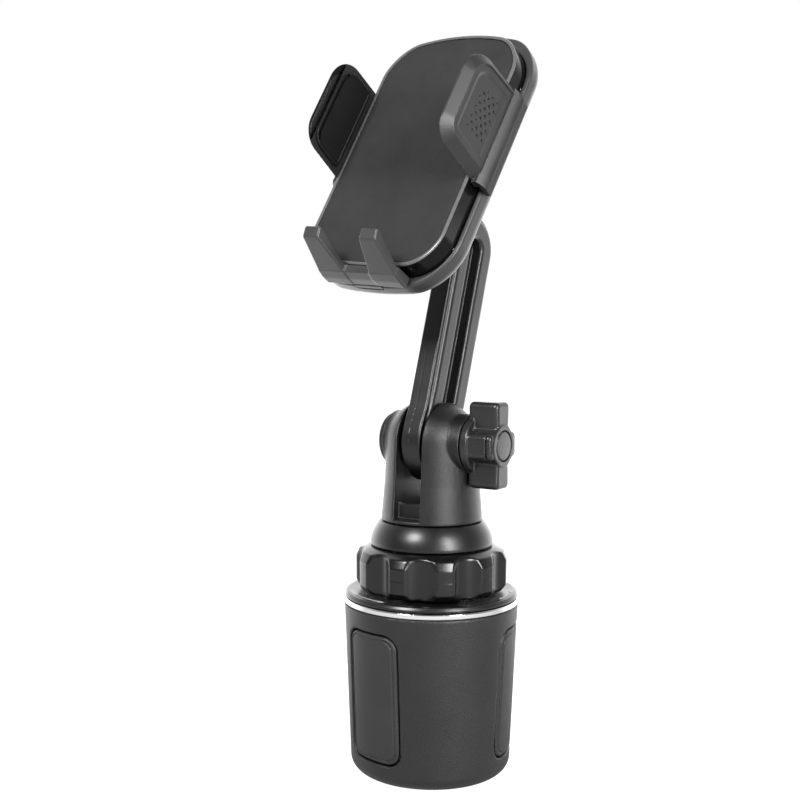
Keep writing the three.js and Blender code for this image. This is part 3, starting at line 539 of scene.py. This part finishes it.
def yoke(x, y, z):
    """A domed post with a slot for the arm, a boss on the knob's side and a cap seat on the other."""
    rho, axis = hyp(x, y), hyp(y, z)
    side = rho - np.interp(z, [-32, -16.6, 0], [20.6, 19.3, YOKE_R])
    k0 = np.sqrt((rho / YOKE_R) ** 2 + (z / DOME_HIGH) ** 2)
    k1 = np.sqrt((rho / YOKE_R ** 2) ** 2 + (z / DOME_HIGH ** 2) ** 2)
    body = np.where(z > 0, k0 * (k0 - 1) / np.maximum(k1, 1e-4), side)
    body = both(body, -31.9 - z, 0.8)
    body = union(body, both(both(axis - 11.8, x - 19.2, 0.5), 8 - x), 0.5)
    body = union(body, both(both(axis - 11.9, -16.9 - x, 0.5), x + 8), 1.4)
    body = less(body, both(axis - 11.15, x + 16.6), 0.3)
    floor = 107.5 - PIVOT + 0.012 * y ** 2
    slot = np.minimum(both(np.abs(x) - SLOT_HALF, floor - z, 1.0),
                      both(both(np.abs(x) - SLOT_HALF, 15.2 - np.abs(y), 0.6), 104.4 - PIVOT - z, 0.6))
    body = less(body, slot, 0.9)
    body = less(body, both(axis - 9.6, np.abs(x) - 7), 0.3)
    body = less(body, both(axis - 6.2, x + 12.7))
    body = less(body, both(rho - 4.6, 104.7 - PIVOT - z), 0.3)
    return less(body, axis - BOLT_BORE)


carved("yoke_body", yoke, (-21, -21, -33), (21, 21, 18), 0.5, PIVOTED, YOKED, "neck", ["yoke"])


def bolt_head(x, y, z):
    radius = hyp(y, z)
    body = both(both(radius - 10.8, -19.45 - x, 1.2), x + 16.9, 0.3)
    return less(body, both(radius - 8.4, x + 19.15 - 0.004 * radius ** 2), 0.4)


carved("bolt_head", bolt_head, (-20, -12, -12), (-16, 12, 12), 0.4, PIVOTED, KNOBBED, "neck", ["bolt_cap"])


def knob(x, y, z):
    """A four-lobed grip on a round hub, with a thin slit round its outer end."""
    radius = hyp(y, z)
    wings = rrect(y, z, 4.8 - 0.3 * np.cos(z * math.pi / 17), 17.2, 2.4)
    lobes = rrect(y, z, 10.4, 4.9 - 0.3 * np.cos(y * math.pi / 10), 2.4)
    star = union(wings, lobes, 2.2)
    body = both(star, between(x, 19.7, 33.1), 2.0)
    body = union(body, both(radius - 11.6, between(x, 19.7, 22.6), 0.5), 0.8)
    body = union(body, both(radius - 8.1, between(x, 20, 33.3), 0.5), 0.8)
    ring = both(np.abs(x - 30.9) - 0.3, both(9.6 - radius, np.abs(z) - 4.6))
    body = less(body, ring, 0.25)
    return less(body, both(radius - 6.15, 31.4 - x), 0.35)


def knob_cap(x, y, z):
    radius = hyp(y, z)
    return both(both(radius - 5.85, x - 33.5 + 0.006 * radius ** 2, 0.7), 31.6 - x)


carved("knob_grip", knob, (19, -12, -18), (34, 12, 18), 0.4, PIVOTED, KNOBBED, "knob", ["clamp_knob"])
carved("knob_plug", knob_cap, (31, -7, -7), (34, 7, 7), 0.35, PIVOTED, KNOBBED, "knob", ["knob_cap"])


# ---------------------------------------------------------------- arm and ball stud
def arm(x, y, z):
    """A flat strip with a hub at its foot, a rail round its edge and a long groove in each side."""
    strip = hyp(y + 1.1, z - np.clip(z, 0, 82)) - 14.1
    outline = union(strip, hyp(y, z) - 16, 4)
    body = both(outline, np.abs(x) - 4.4, 1.0)
    half = 5.35 + 0.4 * np.clip((z - 8) / 10, 0, 1)
    body = union(body, both(both(outline + 1.3, np.abs(x) - half, 2.4), -z - 5, 0.8), 0.4)
    groove = rrect(y + 1.3, z - 49, 4.0, 37, 3.99)
    body = less(body, both(groove, 1.0 - np.abs(x), 0.6), 2.2)
    parting = both(hyp(x + 0.6, outline) - 0.22, both(z - 34, -z - 4))
    body = less(body, parting, 0.15)
    return less(body, hyp(y, z) - BOLT_BORE)


carved("arm_beam", arm, (-6, -17, -17), (6, 17, 97), 0.4, ARM, SATIN, "arm", ["arm"])
STUD = (ARM[0] + np.array([0, -27.5, 83.7]) @ ARM[1],
        np.array([[1, 0, 0], [0, 0, -1], [0, 1, 0]]) @ ARM[1])
turned("ball_pin", [arc(0, 0, 8.5, -90, 60, 24) + arc(5.4, 9.3, 1.4, 200, 140, 5)
                    + [(4.9, 10.8), (5, 11.1), (5, 12.2), (2.4, 12.2), (2.4, 21), (0, 21)]],
       STUD, STEEL, "arm", ["ball_stud"], around=96)


# ---------------------------------------------------------------- cradle
FRAME_HALF, FRAME_HIGH, FRAME_LOW = 33.0, 49.9, 49.9
SHELL_HALF, SHELL_HIGH, SHELL_LOW = 35.2, 53.4, 53.0


def bowed(x, y, half, high, low, top_r, low_r, top_bow, low_bow):
    """A rounded rectangle whose top and bottom edges bow outwards."""
    crown = 1 - np.clip(x / half, -1, 1) ** 2
    flat = np.where(y > 0, y / (1 + top_bow * crown / high), y / (1 + low_bow * crown / low))
    reach, r = np.where(y > 0, high, low), np.where(y > 0, top_r, low_r)
    qx, qy = np.abs(x) - half + r, np.abs(flat) - reach + r
    return hyp(np.maximum(qx, 0), np.maximum(qy, 0)) + np.minimum(np.maximum(qx, qy), 0) - r


def frame_outline(inset):
    half, high, r = FRAME_HALF - inset, FRAME_HIGH - inset, 13.6 - inset
    loop = []
    for cx, cy, a in ((1, 1, 0), (-1, 1, 90), (-1, -1, 180), (1, -1, 270)):
        loop += arc(cx * (half - r), cy * (high - r), r, a, a + 90, 14)
        if a in (0, 180):
            loop += [(cx * (half - r) * (1 - k / 12 * 2), cy * high) for k in range(1, 12)]
    return [(x, y + (5.6 if y > 0 else 2.4) * (1 - (x / half) ** 2) * y / high) for x, y in loop]


def notched(piece, boxes):
    """Cuts boxes (centre, half sizes) in the cradle's frame out of a piece."""
    for centre, half in boxes:
        corners = [(centre[0] + i * half[0], centre[1] + j * half[1], centre[2] + k * half[2])
                   for i in (-1, 1) for j in (-1, 1) for k in (-1, 1)]
        faces = [[0, 1, 3, 2], [4, 6, 7, 5], [0, 4, 5, 1], [2, 3, 7, 6], [0, 2, 6, 4], [1, 5, 7, 3]]
        mesh = bpy.data.meshes.new("cutter")
        mesh.from_pydata(((np.array(corners) @ CRADLE[1] + CRADLE[0]) / MM).tolist(), [], faces)
        cutter = bpy.data.objects.new("cutter", mesh)
        bpy.context.collection.objects.link(cutter)
        cut = piece.modifiers.new("notch", "BOOLEAN")
        cut.object, cut.operation, cut.solver = cutter, "DIFFERENCE", "EXACT"
        bpy.context.view_layer.update()
        done = bpy.data.meshes.new_from_object(piece.evaluated_get(bpy.context.evaluated_depsgraph_get()))
        piece.modifiers.clear()
        piece.data = done
        bpy.data.objects.remove(cutter)
    tidy(piece, 30)


front = lofted("front_bezel", frame_outline,
               [(2, -8.2), (2, -2.2), (2.01, -2.15), (1.5, -1.2), (1.45, -0.75), (0.1, -0.7), (0, -0.8),
                (0, -7.9), (0.3, -8.2)],
               CRADLE, GLOSSY, "cradle", ["front_frame"], closed=True)
# A thin bead round the bezel's rim in the paler plastic: a painted highlight for the glossy chamfer's reflection.
lofted("front_rim_highlight", frame_outline, [(1.35, -0.6), (1.35, -0.05), (1.2, 0.06), (0.55, 0.1), (0.2, -0.05), (0.02, -0.4),
                                    (0.02, -0.6)], CRADLE, RIM_PAINTED_HIGHLIGHT, "cradle", closed=True)
lofted("front_plate", frame_outline, [(1.9, -2.1), (1.9, -1.25)], CRADLE, GLOSSY, "cradle")
lofted("front_cushion", frame_outline,
       [(1.55, -1.1), (1.55, -0.5), (1.7, -0.3), (2.1, -0.2), (4.5, -0.15), (8, -0.1)],
       CRADLE, MATTE, "cradle", ["front_pad"])
RACK_Y = {1: (-7.75, 1.05), -1: (14.45, 23.25)}      # each rack's lower and upper edge, right and left
notched(front, [((side * 33, sum(RACK_Y[side]) / 2, -5.9), (3.5, 4.75, 1.85)) for side in (1, -1)])
BUTTON_Y = 33.0
SCREWS = [(24, 38), (-24, 38), (24, -36), (-24, -36)]


def shell(x, y, z):
    outline = bowed(x, y, SHELL_HALF, SHELL_HIGH, SHELL_LOW, 15.6, 18.5, 8.2, 4.0)
    r = 5.2
    qx, qz = outline + r, -17.0 - z + r
    body = hyp(np.maximum(qx, 0), np.maximum(qz, 0)) + np.minimum(np.maximum(qx, qz), 0) - r
    body = both(body, z + 7.9, 1.3)
    inner = bowed(x, y, FRAME_HALF, FRAME_HIGH, FRAME_LOW, 13.6, 13.6, 5.6, 2.4)
    body = less(body, both(inner - 0.2, -12.9 - z), 0.3)
    body = less(body, both(inner + 4.5, -15 - z), 0.5)
    neck = hyp(x, y - BALL_Y)
    body = union(body, both(both(neck - 12.9, BALL_Z - 5.8 - z, 0.6), z + 15.3), 1.6)
    rib = np.abs((np.arctan2(y - BALL_Y, x) * 8 / math.pi + 100.5) % 1 - 0.5) * math.pi / 8 * neck - 0.7
    body = union(body, both(both(rib, neck - 17.5), between(z, -19.5 + 0.35 * (neck - 13), -16)), 0.8)
    button = rrect(x, y - BUTTON_Y, 6, 8, 2.2)
    body = less(body, both(button, z + 10), 0.5)
    dish = rrect(x, y - BUTTON_Y, 8.6, 10.6, 4)
    body = less(body, both(dish, z + 16.5), 0.7)
    for sx, sy in SCREWS:
        spot = hyp(x - sx, y - sy)
        body = less(body, both(spot - 3.1, z + 14.3), 0.4)
        body = less(body, spot - 1.7)
    body = less(body, both(both(np.abs(x) - 7.1, y + 49), between(z, -9.9, 0)))
    return less(body, hyp(neck, z - BALL_Z) - 10.8, 0.3)


carved("rear_shell", shell, (-37, -60, -34), (37, 63, -6), 0.65, CRADLE, SHELL, "cradle", ["back_shell"])


def screw(x, y, z):
    radius = hyp(x, y)
    head = both(both(radius - 2.6, -16.9 - z, 0.5), z + 14.6, 0.2)
    cross = both(np.minimum(both(np.abs(x) - 0.35, np.abs(y) - 1.5), both(np.abs(y) - 0.35, np.abs(x) - 1.5)),
                 z + 15.8)
    return union(less(head, cross, 0.15), both(radius - 1.2, between(z, -15, -3.2)))


for i, (sx, sy) in enumerate(SCREWS):
    spot = (CRADLE[0] + np.array([sx, sy, 0]) @ CRADLE[1], CRADLE[1])
    carved(f"rear_screw_{i + 1}", screw, (-3, -3, -17.5), (3, 3, -3), 0.25, spot, STEEL, "cradle",
           [f"shell_screw_{i + 1}"])


def release(x, y, z):
    outline = rrect(x, y - BUTTON_Y, 5.6, 7.6, 1.9)
    top = -18.2 - 0.02 * x ** 2 + 0.012 * (y - BUTTON_Y) ** 2
    body = both(both(outline, top - z, 1.0), z + 13)
    ridges = both(np.abs((y - BUTTON_Y + 20) % 2.0 - 1.0) - 0.4, np.abs(y - BUTTON_Y) - 4.6)
    body = less(body, both(both(ridges, np.abs(x) - 3.8), z - top - 0.35), 0.3)
    body = union(body, both(rrect(x, y - BUTTON_Y, 7.2, 9.2, 1.8), between(z, -14.7, -12)))
    wedge = poly(y, z, [(37, -13), (39.9, -13), (39.9, -7.2), (37.4, -4.7), (37, -4.7)])
    return union(body, both(wedge, np.abs(x) - 4.4))


carved("release_key", release, (-8, 23, -19), (8, 43, -4), 0.35, CRADLE, KNOBBED, "release_button",
       ["release_button"])


def collar(x, y, z):
    rho, ahead, aside = folded(x, y, 12, 0)
    section = [(13.2, 7.5), (15.8, 7.5), (15.8, -2.5), (14.4, -5), (12.6, -7.2), (10.3, -7.2), (10.3, -6.1),
               (13.2, -6.1)]
    body = poly(rho, z, soften(section, 0.7))
    return less(body, both(hyp(ahead - 17.1, aside) - 2.2, -3.2 - z, 0.8), 0.5)


carved("collar_grip", collar, (-17, -17, -8), (17, 17, 8.5), 0.4, BALLED, SATIN, "collar", ["collar_nut"])


# ---------------------------------------------------------------- jaws and foot
JAW = soften([(-14.4, -10, 0.4), (-11.1, 25.5, 7.5), (29.9, 25.5, 13), (29.2, -1.5, 5), (26.6, -6.6, 1.5),
              (26.6, -10, 0.4)], 1, 12)
PANEL = soften([(-8.6, -1.5, 0.5), (-6.6, 21.7, 5.5), (26.1, 21.8, 8.5), (26.2, -1.5, 0.5)], 1, 12)
FLANGE_TOP, LEAN_IN = -1.5, 0.045
JAW_INNER, JAW_OUTER = 33.3, 36.9
DIMPLE_ROW, DIMPLE_STEP = 2.15, 3.4


def jaw(x, y, z):
    """A leaning plate with a sunk, dimpled panel outside, and a flared flange at its root."""
    x = x + LEAN_IN * z
    outline = poly(y, z, JAW)
    body = both(outline, between(x, JAW_INNER, JAW_OUTER), 0.35)
    panel = poly(y, z, PANEL)
    down = np.clip((FLANGE_TOP - z) / 5.1, 0, 1)
    flare = 36.0 + 2.3 * np.sin(down * math.pi / 2) - 0.35 * (down >= 1)
    slope = np.where(z > FLANGE_TOP, (panel + (x - JAW_OUTER) * 1.25) / 1.6, x - flare)
    body = both(body, slope, 0.35)
    sunk = 0.55 + 0.5 * np.clip((-2.6 - panel) / 1.2, 0, 1)
    body = less(body, both(panel + 0.35, JAW_OUTER - sunk - x), 0.3)
    row = np.floor((y + 0.3) / DIMPLE_ROW)
    zz = (z - 2.1 + (row % 2) * DIMPLE_STEP / 2) % DIMPLE_STEP - DIMPLE_STEP / 2
    yy = (y + 0.3) % DIMPLE_ROW - DIMPLE_ROW / 2
    dimple = np.sqrt((zz / 1.3) ** 2 + (yy / 0.9) ** 2) - 0.5
    patch = rrect(y - 8.7, z - 8.3, 9.2, 5.6, 1.5)
    body = less(body, both(both(dimple * 0.8, patch), 35.3 - x), 0.25)
    skirt = both(both(outline, z - FLANGE_TOP), both(x - flare, 35.5 - x), 0.3)
    body = less(body, both(z - FLANGE_TOP + 3.0, between(x, 30, 35.5)), 0.3)
    return union(body, skirt)


MIRROR = np.diag([-1.0, 1.0, 1.0])


def rack(name, side, body):
    """A straight rack: gear teeth towards the pinion, ratchet teeth along the other edge."""
    middle, reach, inner, outer = 7.75, 24.0, 7.2, 15.2
    points = []
    for i in range(12):
        x = 1.5 - reach + i * 2.5
        points += [(x, -outer), (x + 2.3, 1 - outer)]
    points += [(34, -outer), (34, -inner)]
    for i in range(3, -7, -1):
        x = (i - 0.5) * math.pi
        points += [(x + 1, -inner), (x + 0.35, 1.9 - inner), (x - 0.35, 1.9 - inner), (x - 1, -inner)]
    points += [(-reach, -inner), (-reach, -outer)]
    turn = 1 if side > 0 else -1
    outline = [(turn * x, middle + turn * y) for x, y in points]
    n = len(outline)
    verts = [(x, y, z) for z in (-6.9, -4.4) for x, y in outline]
    faces = [[i, (i + 1) % n, n + (i + 1) % n, n + i] for i in range(n)]
    faces += [list(range(n))[::-1], list(range(n, 2 * n))]
    tidy(make(name, verts, faces, CRADLE, INNER, body, smooth=False))


SIDES = [(1, "right", CRADLE), (-1, "left", (CRADLE[0], MIRROR @ CRADLE[1]))]
for side, word, place in SIDES:
    carved(f"jaw_{word}_blade", jaw, (33, -15, -11), (39, 30, 27), 0.32, place, JAWED, f"jaw_{word}",
           [f"jaw_{word}"])
    rack(f"jaw_{word}_rack", side, f"jaw_{word}")


LINING = soften([(-10.4, 2.2, 2.5), (-8.6, 20.6, 6), (27.4, 20.6, 10), (26.6, 2.2, 2.5)], 2, 12)


def jaw_pad(x, y, z):
    x = x + LEAN_IN * z
    outline = poly(y, z, LINING)
    body = both(outline, between(x, 32.1, 33.25), 0.7)
    return less(body, both(outline + 1.6, x - 32.3), 0.3)


for side, word, place in SIDES:
    carved(f"jaw_{word}_lining", jaw_pad, (32, -11, 0), (33.6, 27, 24), 0.35, place, RUBBER, f"jaw_{word}",
           [f"jaw_pad_{word}"])

CLAW = soften([(-57.0, -6.9, 0.5), (-56.9, -3, 8), (-55.9, 1.9, 12), (-51.0, 16.6, 1.2), (-46.5, 17.7, 1.0),
               (-46.4, 15.4, 1.2), (-52.9, 2.2, 3), (-52.9, -6.9, 0.5)], 1.0)[::-1]
FOOT_HALF, TONGUE_HALF = 19.5, 7


def foot(x, y, z):
    """Two claws that lean apart, the bar that joins them, and the tongue that slides into the shell."""
    side = np.abs(x)
    claw = poly(y, z, CLAW)
    rise = np.clip((z - 0.8) / 17, 0, 1)
    prong = both(claw, between(side, 6.3 + 4.2 * rise, FOOT_HALF - 1.5 * rise), 0.7)
    bar = both(both(claw, z - 0.9, 0.5), side - FOOT_HALF, 0.7)
    body = union(prong, bar, 0.8)
    tongue = both(both(side - TONGUE_HALF, between(z, -9.8, -7.5)), between(y, -56.9, -22))
    web = both(both(side - TONGUE_HALF, between(z, -9.8, -5)), between(y, -56.6, -53.4))
    return union(body, union(tongue, web), 0.3)


# The claws take the paler plastic, whose colour carries a painted sheen.
carved("foot_claws", foot, (-21, -58, -11), (21, -21, 18.5), 0.36, CRADLE, CLAW_PAINTED_SHEEN, "foot", ["foot"])

# ---------------------------------------------------------------- floor, light and camera
BACKDROP_WAY = (-0.559, 0.829, 0.0)      # level, from the camera to the backdrop
FLOOR_REACH, FLOOR_Z = 6, -0.0004


def backdropward(nodes, links, source):
    """How far a position or direction in `source` lies towards the backdrop."""
    dot = nodes.new("ShaderNodeVectorMath")
    dot.operation = "DOT_PRODUCT"
    dot.inputs[1].default_value = BACKDROP_WAY
    links.new(source, dot.inputs[0])
    return dot.outputs["Value"]


def plain_white(nodes, links, lighting):
    """White where it is seen directly, and `lighting` for the light that it casts."""
    seen = nodes.new("ShaderNodeMix")
    links.new(nodes.new("ShaderNodeLightPath").outputs["Is Camera Ray"], seen.inputs["Factor"])
    links.new(lighting, seen.inputs["A"])
    seen.inputs["B"].default_value = 1.0
    return seen.outputs["Result"]


stage_mesh = bpy.data.meshes.new("floor")
stage_mesh.from_pydata([(i * FLOOR_REACH, j * FLOOR_REACH, FLOOR_Z) for i, j in ((-1, -1), (1, -1), (1, 1), (-1, 1))],
                       [], [[0, 1, 2, 3]])
floor = bpy.data.objects.new("floor", stage_mesh)
pale, nodes, links, shader = material("pale_floor")
shader.inputs["Base Color"].default_value = (0.35, 0.35, 0.35, 1)
shader.inputs["Specular IOR Level"].default_value = 0.0
shader.inputs["Roughness"].default_value = 0.9
shader.inputs["Emission Color"].default_value = (1, 1, 1, 1)
behind = backdropward(nodes, links, nodes.new("ShaderNodeTexCoord").outputs["Object"])
links.new(plain_white(nodes, links, ramp(nodes, links, behind, 0.2, 2.6, 0.02, 0.34)),
          shader.inputs["Emission Strength"])
stage_mesh.materials.append(pale)
bpy.context.collection.objects.link(floor)

scene = bpy.context.scene
scene.view_settings.view_transform = "Standard"
world = bpy.data.worlds.new("studio")
scene.world = world
world.use_nodes = True
nodes, links = world.node_tree.nodes, world.node_tree.links
direction = nodes.new("ShaderNodeTexCoord").outputs["Generated"]
across = backdropward(nodes, links, direction)
height = nodes.new("ShaderNodeSeparateXYZ")
links.new(direction, height.inputs[0])
flanks = maths(nodes, links, "ADD", ramp(nodes, links, across, 0.24, 2.2, -0.15, 0.9),
               ramp(nodes, links, across, 0.0, 0.7, 0.35, 0.75))
glow = maths(nodes, links, "MULTIPLY", flanks, ramp(nodes, links, height.outputs["Z"], 1.0, 0.4, 0.1, 0.75))
background = nodes["Background"]
background.inputs["Color"].default_value = (1, 1, 1, 1)
links.new(plain_white(nodes, links, glow), background.inputs["Strength"])

CAMERA_AT = Vector((0.27181, -0.42652, 0.18741))
LOOK_AZIMUTH, LOOK_DOWN, ROLL = math.radians(34.01), math.radians(4.10), math.radians(0.32)
camera_data = bpy.data.cameras.new("camera")
camera_data.lens, camera_data.sensor_width = 56.25, 36.0
camera_data.clip_start = 0.01
camera = bpy.data.objects.new("camera", camera_data)
look = Vector((-math.sin(LOOK_AZIMUTH) * math.cos(LOOK_DOWN), math.cos(LOOK_AZIMUTH) * math.cos(LOOK_DOWN),
               -math.sin(LOOK_DOWN)))
camera.matrix_world = (Matrix.Translation(CAMERA_AT) @ look.to_track_quat("-Z", "Y").to_matrix().to_4x4()
                       @ Matrix.Rotation(ROLL, 4, "Z"))
bpy.context.collection.objects.link(camera)
scene.camera = camera


def softbox(name, azimuth, elevation, distance, size, power, target=(0, 0, 0.15)):
    """An area light; azimuth is measured from the camera's own side of the object, to the right."""
    a = math.atan2(CAMERA_AT.y, CAMERA_AT.x) + math.radians(azimuth)
    e = math.radians(elevation)
    data = bpy.data.lights.new(name, "AREA")
    data.shape, data.size, data.size_y, data.energy = "RECTANGLE", size[0], size[1], power
    light = bpy.data.objects.new(name, data)
    target = Vector(target)
    direction = Vector((math.cos(a) * math.cos(e), math.sin(a) * math.cos(e), math.sin(e)))
    light.location = target + direction * distance
    light.rotation_euler = (-direction).to_track_quat("-Z", "Y").to_euler()
    bpy.context.collection.objects.link(light)


softbox("key_left", -40, 38, 1.1, (0.3, 0.3), 13)
softbox("key_right", 34, 18, 1.1, (0.26, 0.75), 18)
